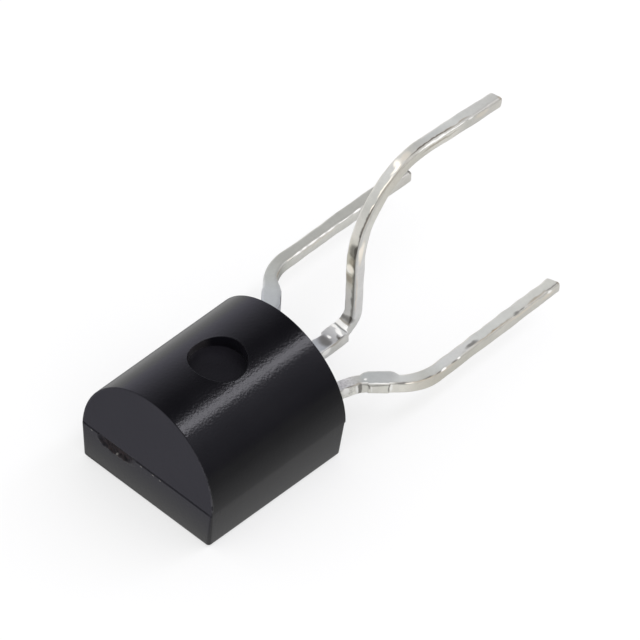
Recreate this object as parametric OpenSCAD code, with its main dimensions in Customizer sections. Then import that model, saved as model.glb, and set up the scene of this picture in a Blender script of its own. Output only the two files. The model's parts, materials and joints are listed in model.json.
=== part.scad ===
// Triac in a half-round moulded package with three formed leads.
// The flat face lies on the ground with its centre at the origin, the dome looks up (+Z)
// and the leads leave the body towards +Y. All sizes are in millimetres.

/* [Moulded body] */
// Width across the parting line
body_w = 4.8; // [4.4:0.1:5.8]
// Length along the parting line
body_l = 5.05; // [4.8:0.05:6.2]
// Height of the parting line above the flat face
parting_h = 1.25; // [1.0:0.05:1.6]
// Height of the dome's axis above the parting line
dome_rise = 0.05; // [0:0.01:0.2]
// Draft of the two long walls below the parting line, in degrees
side_draft = 3.6; // [1:0.1:8]
// Draft of the end faces, in degrees
end_draft = 2.0; // [0.5:0.1:6]
// Draft of the dome's face that the leads leave through, in degrees
lead_end_draft = 3.3; // [0.5:0.1:6]
// Radius round the edges of the flat face
foot_r = 0.1; // [0.02:0.01:0.3]
// How far the lower half of the mould sits towards the plain end
mould_step = 0.02; // [0:0.005:0.05]

/* [Marks left by the mould] */
// Diameter of the ejector pin's mark in the dome
pin_mark_d = 1.66; // [0.8:0.02:2.2]
// Depth of the pin mark below the top of the dome
pin_mark_depth = 0.4; // [0.1:0.02:0.5]
// Width of the broken gate on the plain end
gate_w = 1.4; // [0.4:0.05:2]
// Height of the broken gate
gate_h = 0.32; // [0.1:0.02:0.6]
// Depth of the broken gate
gate_depth = 0.05; // [0.01:0.01:0.15]
// Centre of the broken gate, across the body
gate_x = -1.15; // [-1.2:0.05:1.2]

/* [Lead strip] */
// Width of a lead
lead_w = 0.36; // [0.3:0.02:0.5]
// Thickness of the strip
lead_t = 0.38; // [0.3:0.02:0.5]
// Distance between neighbouring leads where they leave the body
pitch = 1.27; // [1.05:0.01:1.55]
// Distance from the body to the middle of the cut tie bar
tie_at = 1.85; // [1.5:0.05:1.95]
// Width of the tie bar along the lead
tie_w = 0.52; // [0.3:0.02:0.6]
// How far the tie bar's stub stands proud on the side of an outer lead that faces inwards
tie_proud_inner = 0.13; // [0.02:0.01:0.2]
// How far the tie bar's stub stands proud on the other side of an outer lead
tie_proud_outer = 0.03; // [0.01:0.01:0.1]
// How far the tie bar's stub stands proud on the right-hand side of the centre lead
tie_proud_right = 0.15; // [0.02:0.01:0.2]
// How far the tie bar's stub stands proud on the left-hand side of the centre lead
tie_proud_left = 0.01; // [0.01:0.01:0.1]

/* [Outer leads] */
// Distance from the middle plane to an outer lead after forming
spread = 2.815; // [2.0:0.005:3.2]
// Distance from the body to the bend that steepens an outer lead's splay
splay_at = 1.2; // [0.9:0.05:1.4]
// How far an outer lead has moved sideways at that bend
splay_out = 0.375; // [0.2:0.005:0.5]
// Distance from the body to the bend that straightens an outer lead
straighten_at = 2.46; // [2.2:0.02:3.2]
// Radius of the bend that steepens the splay
splay_r = 1; // [0.3:0.05:1.2]
// Radius of the bend that straightens the lead
straighten_r = 1.4; // [0.5:0.05:1.5]
// Distance from the body to an outer lead's tip
outer_reach = 7.57; // [5:0.01:14]
// How far the right-hand tip toes in
toe_in_right = 0.125; // [-0.1:0.005:0.3]
// How far the left-hand tip toes in
toe_in_left = -0.03; // [-0.1:0.005:0.3]

/* [Centre lead] */
// Distance from the body to the upright stretch
upright_at = 2.72; // [2.4:0.01:2.9]
// Height at which the upright stretch would meet the slope above it
upright_h = 4.65; // [4:0.01:4.8]
// Lean of the upright stretch towards the body over its height
upright_lean = 0.06; // [0:0.01:0.2]
// Distance from the body to the corner between the slope and the tail
tail_at = 4.07; // [4:0.005:6]
// Height of the corner between the slope and the tail
tail_h = 6.38; // [6.25:0.01:9]
// Distance from the body to the centre lead's tip
centre_reach = 7.86; // [6.5:0.01:14]
// Height of the centre lead's tip
centre_tip_h = 6.095; // [5.8:0.005:9]
// Radius of the bend at the foot of the upright stretch
upright_r = 0.45; // [0.3:0.05:0.8]
// Radius of the bend at the top of the upright stretch
crest_r = 2.75; // [0.5:0.05:2.9]
// Radius of the bend into the tail
tail_r = 2.05; // [0.5:0.05:2.2]

/* [Lead frame inside the body] */
// Width across the body of the flag that carries the die
flag_w = 2.5; // [2.2:0.05:2.6]
// Length of the flag
flag_l = 2.1; // [1.8:0.05:2.4]
// Centre of the flag, across the body
flag_x = -0.7; // [-0.75:0.01:-0.6]
// Centre of the flag, along the body
flag_y = -0.7; // [-0.9:0.05:-0.6]
// Width of the gate lead's bond post
gate_post_w = 0.9; // [0.6:0.05:1]
// Length of the gate lead's bond post
gate_post_l = 0.8; // [0.5:0.05:0.9]
// Width of the main terminal's bond post
terminal_post_w = 1.05; // [0.8:0.05:1.15]
// Length of the main terminal's bond post
terminal_post_l = 1.9; // [1.4:0.05:2]
// Gap between the flag and the gate lead's bond post
post_gap = 0.4; // [0.2:0.05:0.5]
// Width of the shoulder that anchors an outer lead
shoulder_w = 0.6; // [0.4:0.05:0.8]
// Distance from the lead end of the body to the shoulders
shoulder_in = 0.45; // [0.3:0.05:0.7]

/* [Die and bond wires] */
// Edge length of the die
die_size = 1.3; // [0.8:0.05:1.7]
// Thickness of the die
die_t = 0.25; // [0.15:0.01:0.35]
// Width of the moat round the die's top
moat_w = 0.1; // [0.04:0.01:0.15]
// Depth of the moat
moat_depth = 0.06; // [0.02:0.01:0.1]
// Thickness of the solder under the die
solder_t = 0.04; // [0.02:0.01:0.08]
// How far the solder shows round the die
solder_rim = 0.06; // [0.02:0.01:0.15]
// Diameter of the main terminal's bond wire
terminal_wire_d = 0.2; // [0.1:0.01:0.3]
// Diameter of the gate's bond wire
gate_wire_d = 0.12; // [0.05:0.01:0.2]
// Rise of a bond wire's loop
loop_rise = 0.5; // [0.3:0.05:0.8]

/* [Hidden] */
$fn = 96;

epoxy_colour = "#26272b";
tin_colour = "#c4c4c0";
silicon_colour = "#4a5068";
solder_colour = "#8f9094";
aluminium_colour = "#d9dadb";

dome_r = body_w / 2;
dome_z = parting_h + dome_rise;
top_z = dome_z + dome_r;
lead_end = body_l / 2;
lead_h = parting_h;
strip_top = lead_h + lead_t / 2;
strip_bottom = lead_h - lead_t / 2;
root_in = 0.08;         // an outer lead starts to splay this far inside the body
root_r = 0.3;           // radius of that first, slight bend
stub_run = 0.12;        // length of the sloped end of a tie bar stub
stub_sunk = 0.02;       // those slopes start this far inside the lead
ease = 0.0002;          // rounds are this much larger than tangent, so that they cross the straights cleanly
beyond = 1;             // how far a cutting shape runs past what it cuts

flag_size = [flag_w, flag_l];
flag_at = [flag_x, flag_y];
gate_post_size = [gate_post_w, gate_post_l];
terminal_post_size = [terminal_post_w, terminal_post_l];
die_z = strip_top + solder_t;
die_top = die_z + die_t;
gate_post_at = [0, flag_at.y + flag_size.y / 2 + post_gap + gate_post_size.y / 2];
terminal_post_at = [flag_at.x + flag_size.x / 2 + post_gap + terminal_post_size.x / 2,
                    gate_post_at.y + gate_post_size.y / 2 - terminal_post_size.y / 2];

function unit(v) = v / norm(v);
function left(v) = [-v.y, v.x];
function heading(v) = atan2(v.y, v.x);
// Direction of leg i of a route, which runs from corner i to the next
function leg(route, i) = unit(route[i + 1] - route[i]);
// 1 where a route turns left at corner i, -1 where it turns right
function turn_way(route, i) = sign(left(leg(route, i - 1)) * leg(route, i));
// Point level with corner i, off to the left of a route, where its two offset sides meet
function beside(route, i, off) =
    let (n1 = left(leg(route, max(i - 1, 0))),
         n2 = left(leg(route, min(i, len(route) - 2))),
         middle = unit(n1 + n2))
    route[i] + middle * off / (middle * n1);

// ---- moulded body ----

// What a round of radius r takes off a lower corner, for a wall that leans out by draft
module foot_round(half_w, draft, r) {
    reach = 3 * r;
    translate([half_w - r / tan(45 + draft / 2), r])
        difference() {
            polygon([[0, 0], [0, -reach], [reach, -reach], [reach * cos(draft), -reach * sin(draft)]]);
            circle(r + ease);
        }
}

// Outline of the lower half, seen along the body or across it: walls that lean out to the parting line
module lower_outline(w, draft) {
    half_foot = w / 2 - parting_h * tan(draft);
    difference() {
        polygon([[-half_foot, 0], [half_foot, 0], [w / 2, parting_h], [-w / 2, parting_h]]);
        for (side = [0, 1])
            mirror([side, 0])
                foot_round(half_foot, draft, foot_r);
    }
}

// Outline of the dome, seen along the body
module dome_outline() {
    translate([-body_w / 2, parting_h])
        square([body_w, dome_rise]);
    intersection() {
        translate([0, dome_z])
            circle(dome_r);
        translate([-body_w, dome_z])
            square([2 * body_w, body_w]);
    }
}

// Outline of the upper half, seen across the body
module upper_side_outline() {
    rise = top_z - parting_h + beyond;
    plain_top = body_l / 2 - rise * tan(end_draft);
    lead_top = body_l / 2 - rise * tan(lead_end_draft);
    translate([0, parting_h])
        polygon([[-body_l / 2, 0], [body_l / 2, 0], [lead_top, rise], [-plain_top, rise]]);
}

// Stands an outline up and carries it along the body, or across it
module along_body(length) {
    rotate([90, 0, 0])
        linear_extrude(length, center = true)
            children();
}
module across_body(width) {
    rotate([90, 0, 90])
        linear_extrude(width, center = true)
            children();
}

module upper_half() {
    intersection() {
        along_body(body_l + beyond) dome_outline();
        across_body(body_w + beyond) upper_side_outline();
    }
}

module lower_half() {
    translate([0, -mould_step, 0])
        intersection() {
            along_body(body_l + beyond) lower_outline(body_w, side_draft);
            across_body(body_w + beyond) lower_outline(body_l, end_draft);
        }
}

module pin_mark() {
    translate([0, 0, top_z - pin_mark_depth])
        cylinder(d = pin_mark_d, h = pin_mark_depth + beyond);
}

// The gate breaks off under the parting line and leaves a shallow ragged scar
module gate_scar() {
    ragged = [[-0.5, 0], [0.5, 0], [0.46, -0.42], [0.3, -0.78], [0.08, -0.66], [-0.1, -1],
              [-0.34, -0.9], [-0.5, -0.5]];
    translate([gate_x, gate_depth - body_l / 2 - mould_step, parting_h])
        rotate([90, 0, 0])
            linear_extrude(beyond)
                polygon([for (p = ragged) [p.x * gate_w, p.y * gate_h]]);
}

module moulded_body() {
    color(epoxy_colour)
        difference() {
            union() {
                upper_half();
                lower_half();
            }
            pin_mark();
            gate_scar();
            flag_lead();
            gate_lead();
            terminal_lead();
            triac_die();
            die_solder();
            terminal_bond_wire();
            gate_bond_wire();
        }
}

// ---- leads ----

// Wedge of the plane that the bend at corner i sweeps about its centre, out to a given reach
module bend_wedge(route, i, reach) {
    n1 = -turn_way(route, i) * left(leg(route, i - 1));
    n2 = -turn_way(route, i) * left(leg(route, i));
    middle = unit(n1 + n2);
    polygon([[0, 0], n1 * reach, middle * reach / (middle * n1), n2 * reach]);
}

// Moves to the centre that corner i of a route turns about
module at_bend_centre(route, i, r) {
    n1 = -turn_way(route, i) * left(leg(route, i - 1));
    n2 = -turn_way(route, i) * left(leg(route, i));
    middle = unit(n1 + n2);
    translate(route[i] - middle * r / (middle * n1))
        children();
}

// Outline of a bar that follows a route of corners, each turned on its own radius
module bar_outline(route, radii, width) {
    last = len(route) - 1;
    difference() {
        polygon(concat([for (i = [0 : last]) beside(route, i, width / 2)],
                       [for (i = [last : -1 : 0]) beside(route, i, -width / 2)]));
        for (i = [1 : last - 1])
            at_bend_centre(route, i, radii[i - 1])
                difference() {
                    bend_wedge(route, i, radii[i - 1] + width);
                    circle(radii[i - 1] + width / 2 + ease);
                }
    }
    for (i = [1 : last - 1])
        at_bend_centre(route, i, radii[i - 1])
            difference() {
                bend_wedge(route, i, radii[i - 1] - width / 4);
                circle(radii[i - 1] - width / 2 + ease);
            }
}

// Anything stamped from the strip, from its outline
module strip() {
    translate([0, 0, strip_bottom])
        linear_extrude(lead_t)
            children();
}

// Outline of a cut tie bar's stub: it stands proud to +Y of a lead that runs along +X
module tie_stub(proud) {
    top = lead_w / 2 + proud;
    foot = tie_w / 2 + stub_run;
    polygon([[-foot, 0], [foot, 0], [foot, lead_w / 2 - stub_sunk], [tie_w / 2, top], [-tie_w / 2, top],
             [-foot, lead_w / 2 - stub_sunk]]);
}

// Outline of an outer lead on the +X side, from start_y inside the body to its tip
module outer_lead(start_y, toe_in) {
    root = [pitch, lead_end - root_in];
    splay = [pitch + splay_out, lead_end + splay_at];
    straighten = [spread, lead_end + straighten_at];
    tip = [spread - toe_in, lead_end + outer_reach];
    bar_outline([[pitch, start_y], root, splay, straighten, tip], [root_r, splay_r, straighten_r], lead_w);
    translate(splay + unit(straighten - splay) * (tie_at + root_in - norm(splay - root)))
        rotate(heading(straighten - splay)) {
            tie_stub(tie_proud_inner);
            rotate(180)
                tie_stub(tie_proud_outer);
        }
}

// Outline of a patch of the strip, centred on a point
module patch(at, size) {
    translate(at)
        square(size, center = true);
}

// Outline of the shoulder that anchors an outer lead, from inside its patch towards the lead end
module shoulder(x, from_y) {
    length = lead_end - shoulder_in - from_y;
    patch([x, from_y + length / 2], [shoulder_w, length]);
}

// Left-hand lead, in one piece with the flag that carries the die
module flag_lead() {
    color(tin_colour) {
        mirror([1, 0, 0])
            strip()
                outer_lead(flag_at.y, toe_in_left);
        strip() {
            patch(flag_at, flag_size);
            shoulder(-pitch, flag_at.y);
        }
    }
}

// Right-hand lead, ending in the main terminal's bond post
module terminal_lead() {
    color(tin_colour) {
        strip()
            outer_lead(terminal_post_at.y, toe_in_right);
        strip() {
            patch(terminal_post_at, terminal_post_size);
            shoulder(pitch, terminal_post_at.y);
        }
    }
}

// Centre lead, bent up and back over so that its tip stands above the other two
module gate_lead() {
    foot = lead_end + upright_at;
    route = [[gate_post_at.y, lead_h], [foot, lead_h], [foot - upright_lean, upright_h],
             [lead_end + tail_at, tail_h], [lead_end + centre_reach, centre_tip_h]];
    color(tin_colour) {
        across_body(lead_w)
            bar_outline(route, [upright_r, crest_r, tail_r], lead_t);
        strip() {
            patch(gate_post_at, gate_post_size);
            translate([0, lead_end + tie_at]) {
                rotate(90)
                    tie_stub(tie_proud_left);
                rotate(-90)
                    tie_stub(tie_proud_right);
            }
        }
    }
}

// ---- die and bonds ----

module die_solder() {
    color(solder_colour)
        translate([flag_at.x, flag_at.y, strip_top + solder_t / 2])
            cube([die_size + 2 * solder_rim, die_size + 2 * solder_rim, solder_t], center = true);
}

// The die has a moat round its top, which ends the blocking junction
module triac_die() {
    mesa = die_size - 2 * moat_w;
    color(silicon_colour)
        translate([flag_at.x, flag_at.y, die_z]) {
            translate([-die_size / 2, -die_size / 2, 0])
                cube([die_size, die_size, die_t - moat_depth]);
            translate([-mesa / 2, -mesa / 2, 0])
                cube([mesa, mesa, die_t]);
        }
}

// A wire loop between two pads, with a wedge-pressed foot on each; from and to lie on the pads
module bond_wire(from, to, d) {
    foot = [2.4 * d, 1.4 * d, 0.7 * d];
    lift = 0.55 * d;
    run = norm([to.x - from.x, to.y - from.y]);
    climb = to.z - from.z;
    chord = norm([run, climb]);
    loop_r = (chord * chord / 4 + loop_rise * loop_rise) / (2 * loop_rise);
    half_angle = asin(chord / 2 / loop_r);
    translate(from)
        rotate(heading(to - from)) {
            translate([0, 0, lift])
                rotate([90, -atan2(climb, run), 0])
                    translate([chord / 2, loop_rise - loop_r])
                        rotate(90 - half_angle)
                            rotate_extrude(angle = 2 * half_angle)
                                translate([loop_r, 0])
                                    circle(d = d, $fn = 32);
            translate([-foot.x + d / 2, -foot.y / 2, 0])
                cube(foot);
            translate([run - d / 2, -foot.y / 2, climb])
                cube(foot);
        }
}

module terminal_bond_wire() {
    color(aluminium_colour)
        bond_wire([flag_at.x + 0.2, flag_at.y - 0.1, die_top],
                  [terminal_post_at.x - 0.05, terminal_post_at.y + 0.1, strip_top], terminal_wire_d);
}

module gate_bond_wire() {
    color(aluminium_colour)
        bond_wire([flag_at.x - 0.2, flag_at.y + 0.35, die_top],
                  [0, gate_post_at.y - 0.05, strip_top], gate_wire_d);
}

moulded_body();
flag_lead();
gate_lead();
terminal_lead();
triac_die();
die_solder();
terminal_bond_wire();
gate_bond_wire();
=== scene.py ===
import json
import math
import bpy
import numpy as np
from mathutils import Matrix, Vector

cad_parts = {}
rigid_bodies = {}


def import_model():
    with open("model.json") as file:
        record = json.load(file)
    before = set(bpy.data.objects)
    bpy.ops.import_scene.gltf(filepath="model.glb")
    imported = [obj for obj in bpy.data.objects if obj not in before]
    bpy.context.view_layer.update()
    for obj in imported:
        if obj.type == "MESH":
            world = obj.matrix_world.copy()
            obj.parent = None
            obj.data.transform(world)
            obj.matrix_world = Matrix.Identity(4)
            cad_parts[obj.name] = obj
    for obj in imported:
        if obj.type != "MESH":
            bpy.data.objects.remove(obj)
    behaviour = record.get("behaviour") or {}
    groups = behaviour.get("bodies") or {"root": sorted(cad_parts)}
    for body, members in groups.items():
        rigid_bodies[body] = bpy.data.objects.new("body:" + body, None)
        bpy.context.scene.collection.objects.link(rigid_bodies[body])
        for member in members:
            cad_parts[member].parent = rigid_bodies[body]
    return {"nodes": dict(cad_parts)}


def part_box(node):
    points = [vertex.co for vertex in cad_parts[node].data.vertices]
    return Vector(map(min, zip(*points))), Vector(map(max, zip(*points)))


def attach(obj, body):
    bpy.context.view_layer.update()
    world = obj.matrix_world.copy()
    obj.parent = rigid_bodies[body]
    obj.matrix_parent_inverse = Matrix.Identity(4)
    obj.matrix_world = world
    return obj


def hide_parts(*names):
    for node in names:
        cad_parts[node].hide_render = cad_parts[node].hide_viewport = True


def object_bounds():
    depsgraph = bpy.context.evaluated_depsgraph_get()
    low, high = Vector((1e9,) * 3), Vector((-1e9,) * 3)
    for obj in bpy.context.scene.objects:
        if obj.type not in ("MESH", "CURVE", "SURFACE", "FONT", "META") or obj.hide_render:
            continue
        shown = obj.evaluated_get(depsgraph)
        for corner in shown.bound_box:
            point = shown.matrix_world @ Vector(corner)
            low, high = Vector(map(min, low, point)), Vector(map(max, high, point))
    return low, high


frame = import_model()
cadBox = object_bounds()
mm = 0.001
print("frame loaded:", len(frame["nodes"]), "nodes")


cameraView = {
    "azimuth": 41.742,      # degrees round from straight before the plain end, towards +X
    "elevation": 46.351,    # degrees above the ground
    "roll": 3.578,          # degrees the camera is turned about its own line of sight
    "distance": 0.7,        # metres, from far off with a very long lens
    "lens": 1491.5,
    "aimRight": 2.846,      # mm from the middle of the flat face to the aim, along the picture
    "aimUp": 3.529,
}


# The line of sight by the sines and cosines of azimuth and elevation, with the picture's right and up turned
# about it by the roll
def placeCamera(view):
    around, above, roll = (math.radians(view[k]) for k in ("azimuth", "elevation", "roll"))
    level = math.cos(above)
    forward = Vector((-math.sin(around) * level, math.cos(around) * level, -math.sin(above)))
    right = Vector((math.cos(around), math.sin(around), 0))
    right, up = (Matrix.Rotation(-roll, 3, forward) @ v for v in (right, right.cross(forward)))
    data = bpy.data.cameras.new("camera")
    data.lens = view["lens"]
    camera = bpy.data.objects.new("camera", data)
    camera.matrix_world = Matrix((right, up, -forward)).transposed().to_4x4()
    camera.location = right * view["aimRight"] * mm + up * view["aimUp"] * mm - forward * view["distance"]
    bpy.context.scene.collection.objects.link(camera)
    bpy.context.scene.camera = camera


placeCamera(cameraView)
print("camera placed")


# Closed mesh from rings of points in mm, one ring after another. Quads join each ring to the next, and the
# first and last rings are drawn together into one point each, joined to their neighbours by triangles.
# distance gives each ring its place along the piece, for a UV map of (distance, share of the way round).
def solidFromRings(name, rings, distance=None):
    count, around = rings.shape[:2]
    points = np.vstack([rings[:1].mean(1), rings[1:-1].reshape(-1, 3), rings[-1:].mean(1)]) * mm
    row, column = (v.ravel() for v in np.meshgrid(np.arange(count - 3), np.arange(around), indexing="ij"))
    ring = np.arange(around)
    end = count - 3

    # the first cap, the quads and the last cap, by ring and by place round it
    rows = [np.c_[ring * 0 - 1, ring * 0, ring * 0], np.c_[row, row, row + 1, row + 1],
            np.c_[ring * 0 + end + 1, ring * 0 + end, ring * 0 + end]]
    columns = [np.c_[ring, ring + 1, ring], np.c_[column, column + 1, column + 1, column],
               np.c_[ring, ring, ring + 1]]
    faces = [1 + r * around + c % around for r, c in zip(rows, columns)]
    faces[0][:, 0] = 0
    faces[2][:, 0] = len(points) - 1

    # faces must look outwards, so they are turned over if the signed volume of their triangles is negative
    triangles = np.vstack([faces[0], faces[1][:, :3], faces[1][:, [0, 2, 3]], faces[2]])
    a, b, c = (points[triangles[:, k]] for k in range(3))
    flip = -1 if (a * np.cross(b, c)).sum() < 0 else 1
    mesh = bpy.data.meshes.new(name)
    mesh.from_pydata(points.tolist(), [], sum((f[:, ::flip].tolist() for f in faces), []))
    mesh.polygons.foreach_set("use_smooth", np.ones(len(mesh.polygons), bool))
    if distance is not None:
        along = np.concatenate([distance[1 + r[:, ::flip]].ravel() for r in rows])
        across = np.concatenate([c[:, ::flip].ravel() for c in columns]) / around
        layer = mesh.uv_layers.new(name="alongLead")
        layer.uv.foreach_set("vector", np.c_[along, across].astype(np.float32).ravel())
    piece = bpy.data.objects.new(name, mesh)
    bpy.context.scene.collection.objects.link(piece)
    return piece


# Positions from low to high whose spacing is inverse to a density: the running sum of the density, read
# backwards at equal steps
def graded(count, low, high, density):
    fine = np.linspace(low, high, 4001)
    total = np.cumsum(density(fine))
    return np.interp(np.linspace(total[0], total[-1], count), total, fine)


# Bump that is 1 at a place and falls off over a reach: the exponential of minus the squared distance
def nearer(x, at, reach):
    return np.exp(-((x - at) / reach) ** 2)


# Smooth step from 0 at low to 1 at high: three t squared less two t cubed
def ramp(x, low, high):
    t = np.clip((x - low) / (high - low), 0, 1)
    return t * t * (3 - 2 * t)


bodyLow, bodyHigh = (np.array(v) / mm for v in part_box("moulded_body"))
domeRadius = bodyHigh[0]
domeHeight = bodyHigh[2] - domeRadius       # of the dome's axis above the ground
halfLength = bodyHigh[1]                    # of the upper half at the parting line

bodyShape = {               # mm and degrees
    "partingHeight": 1.25,
    "sideDraft": 3.6,
    "endDraft": 2.0,
    "leadEndDraft": 2.7,
    "rimRound": 0.025,      # round along the dome's rims
    "cornerRound": 0.05,    # round of the upright edges at the parting line
    "footRound": 0.1,
    "seamDepth": 0.035,     # the fine groove left where the two mould halves met
    "seamHeight": 0.042,
    "seamProfile": ((0.15, 0.4), (0.85, 0.3), (1, 0), (1, -0.3)),       # shares of its depth and height
    "seamFade": 0.15,       # length over which it runs out towards the sides
    "seamLeast": 0.002,     # its depth along the sides
    "pinRadius": 0.81,
    "pinDepth": 0.40,
    "pinFillet": 0.003,
    "pinBevel": 0.012,      # from the top of the mark's wall up to the dome
    "pinLip": 0.0012,       # how far the mark's lip stands above the dome
    "lipProfile": ((0.003, -0.55), (0.009, 0.4), (0.018, 1), (0.028, 0.9),      # mm out from the mark, and
                   (0.042, 0.4), (0.06, 0)),                                    # share of the lip's height
    "gateAt": -1.12,
    "gateWidth": 1.32,
    "gateHeight": 0.35,
    "gateDepth": 0.05,
    "gateFoot": ((-0.5, 0.35), (-0.44, 0.62), (-0.34, 0.9), (-0.2, 0.84), (-0.1, 1.0),      # its ragged edge,
                 (0.02, 0.8), (0.1, 0.68), (0.3, 0.78), (0.42, 0.45), (0.5, 0.12)),         # as shares
    "columns": (59, 83, 125),       # of faces, on each side, the lead end and the plain end
}


# The body as columns that run from the middle of the pin mark, over the dome and down an end or a side, to
# the middle of the flat face. On the dome a column is a straight line on the unrolled cylinder, where a point
# is (radius times angle, y), and the cylinder gives x as the sine and z as the cosine of that angle.
def bodySolid(name, shape):
    parting = shape["partingHeight"]
    sideLean, plainLean, leadLean = (math.tan(math.radians(shape[k])) for k in
                                     ("sideDraft", "endDraft", "leadEndDraft"))

    # round the rim: right side, lead end, left side, plain end, as shares of the half dome and half length
    sideCount, leadCount, plainCount = shape["columns"]
    sideShare = graded(sideCount + 1, -1, 1, lambda v: 1 + 9 * nearer(abs(v), 1, 0.03))[:-1]
    leadShare = graded(leadCount + 1, -1, 1, lambda a: 1 + 0.5 * nearer(abs(a), 1, 0.1))[:-1]
    plainShare = graded(plainCount + 1, -1, 1, lambda a: 1 + 1.8 * nearer(a, -0.33, 0.25))[:-1]
    across = np.r_[np.ones(sideCount), -leadShare, -np.ones(sideCount), plainShare]
    along = np.r_[sideShare, np.ones(leadCount), -sideShare, -np.ones(plainCount)]
    turn = across * math.pi / 2
    onEnd = abs(along) == 1
    endLean = np.where(along > 0, leadLean, plainLean)

    def reachAt(z):
        return halfLength - (z - parting) * endLean

    # dome: from the pin mark's lip to the rim, by equal shares of the turn and of the length
    rimHeight = domeHeight + domeRadius * np.cos(turn)
    rimY = along * reachAt(rimHeight)
    rings = pinMark(np.arctan2(rimY, domeRadius * turn), shape)
    lipTurn, lipY = np.arcsin(rings[-1][:, 0] / domeRadius), rings[-1][:, 1]
    for share in graded(46, 0, 1, lambda q: 1 + 1.5 * nearer(q, 0, 0.05) + 14 * nearer(q, 1, 0.018))[1:]:
        angle = lipTurn + (turn - lipTurn) * share
        p = np.c_[domeRadius * np.sin(angle), lipY + (rimY - lipY) * share,
                  domeHeight + domeRadius * np.cos(angle)]
        rings.append(roundUpper(p, reachAt(p[:, 2]), shape["rimRound"]))

    # end faces, straight down: rows crowd together at the rim and at the seam by a stretched tanh. On a side
    # this is only the short upright above the seam.
    drop = rimHeight - parting - shape["seamHeight"] / 2
    steep = 2.4 * np.minimum(drop / 0.5, 1) + 0.01
    for share in np.linspace(0, 1, 36)[1:]:
        z = rimHeight - drop * (1 + np.tanh(steep * (2 * share - 1)) / np.tanh(steep)) / 2
        p = np.c_[domeRadius * np.sin(turn), along * reachAt(z), z]
        rings.append(roundUpper(p, reachAt(z), shape["rimRound"]))

    # the seam: in, down and out again, deep only across the ends
    outline = rings[-1][:, :2]
    outward = np.c_[np.where(onEnd, 0, np.sign(across)), np.where(onEnd, np.sign(along), 0)]
    fade = ramp(domeRadius - abs(outline[:, 0]), 0, shape["seamFade"])
    depth = shape["seamDepth"] * np.where(onEnd, fade, 0) + shape["seamLeast"]
    for share, z in shape["seamProfile"]:
        inset = outline - outward * (depth * share)[:, None]
        rings.append(np.c_[inset, parting + z * shape["seamHeight"] + 0 * depth])

    rings += lowerHalf(np.c_[np.sin(turn), along], np.array([sideLean, plainLean]), shape)
    return solidFromRings(name, np.array(rings))


# Floor, fillet and wall of the pin mark, circles about the dome's middle, then its lip: a small crest that
# stands just proud of the dome
def pinMark(bearing, shape):
    bearX, bearY = np.cos(bearing), np.sin(bearing)
    radius, fillet = shape["pinRadius"], shape["pinFillet"]

    def domeTop(x):
        return domeHeight + np.sqrt(domeRadius ** 2 - np.minimum(abs(x), domeRadius) ** 2)

    angle = np.radians([0, 30, 60, 90])
    floorShare = np.array([0, 0.12, 0.25, 0.4, 0.55, 0.7, 0.82, 0.92, 0.97, 0.99])
    reach = np.r_[(radius - fillet) * floorShare, radius - fillet * (1 - np.sin(angle))]
    height = np.r_[floorShare * 0, fillet * (1 - np.cos(angle))] + bodyHigh[2] - shape["pinDepth"]
    rings = [np.c_[r * bearX, r * bearY, z + bearing * 0] for r, z in zip(reach, height)]
    wallTop = domeTop(radius * bearX) - shape["pinBevel"]
    for share in (0.02, 0.1, 0.3, 0.55, 0.8, 0.93, 1):
        rings.append(np.c_[radius * bearX, radius * bearY, height[-1] + (wallTop - height[-1]) * share])
    for out, proud in shape["lipProfile"]:
        x, y = (radius + out) * bearX, (radius + out) * bearY
        rings.append(np.c_[x, y, domeTop(x) + proud * shape["pinLip"]])
    return rings


# Lower half: walls that lean in to the foot, its round, and the flat face. plan gives the outline as shares
# of the half width and half length.
def lowerHalf(plan, lean, shape):
    parting, foot = shape["partingHeight"], shape["footRound"]
    seamFoot = parting - shape["seamHeight"] / 2
    size = np.array([domeRadius, halfLength])
    slip = np.array([0, bodyLow[1] + bodyHigh[1], 0])       # the mould halves are slightly out of line
    onPlain = plan[:, 1] == -1
    wall = graded(32, seamFoot - 0.01, foot, lambda z: 1 + 3 * nearer(z, 1.05, 0.22))
    heights = np.r_[seamFoot, seamFoot - 0.004, wall, foot * np.array([0.8, 0.6, 0.42, 0.26, 0.12, 0.03, 0])]
    rings = []
    for z in heights:
        half = size - (parting - z) * lean
        p = roundLower(np.c_[plan * half, z + 0 * onPlain], half, shape)
        p[:, 1] += gateScar(p, shape) * onPlain
        rings.append(p + slip)
    half = size - parting * lean
    for share in (0.985, 0.97, 0.95, 0.92, 0.85, 0.7, 0.5, 0.3, 0.12, 0):
        rings.append(roundLower(np.c_[plan * half * share, 0 * onPlain], half, shape) + slip)
    return rings


# Draws points of the sharp upper half onto its rounded edges: the nearest point of the same shape made
# smaller by r, plus r along the line between the two
def roundUpper(p, reach, r):
    x, y, z = p.T
    rise = np.maximum(z - domeHeight, 0)
    shrink = np.minimum(1, (domeRadius - r) / np.hypot(x, rise))
    core = np.c_[x * shrink, np.clip(y, r - reach, reach - r), z - rise + rise * shrink]
    gap = p - core
    return core + r * gap / np.linalg.norm(gap, axis=1)[:, None]


# The same for the lower half, with a radius that grows from the parting line down to the foot
def roundLower(p, half, shape):
    foot = shape["footRound"]
    share = np.clip((p[:, 2:] - foot) / (shape["partingHeight"] - foot), 0, 1)
    r = foot + (shape["cornerRound"] - foot) * share
    core = np.c_[np.clip(p[:, :2], r - half, half - r), np.maximum(p[:, 2], foot)]
    gap = p - core
    return core + r * gap / np.linalg.norm(gap, axis=1)[:, None]


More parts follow.
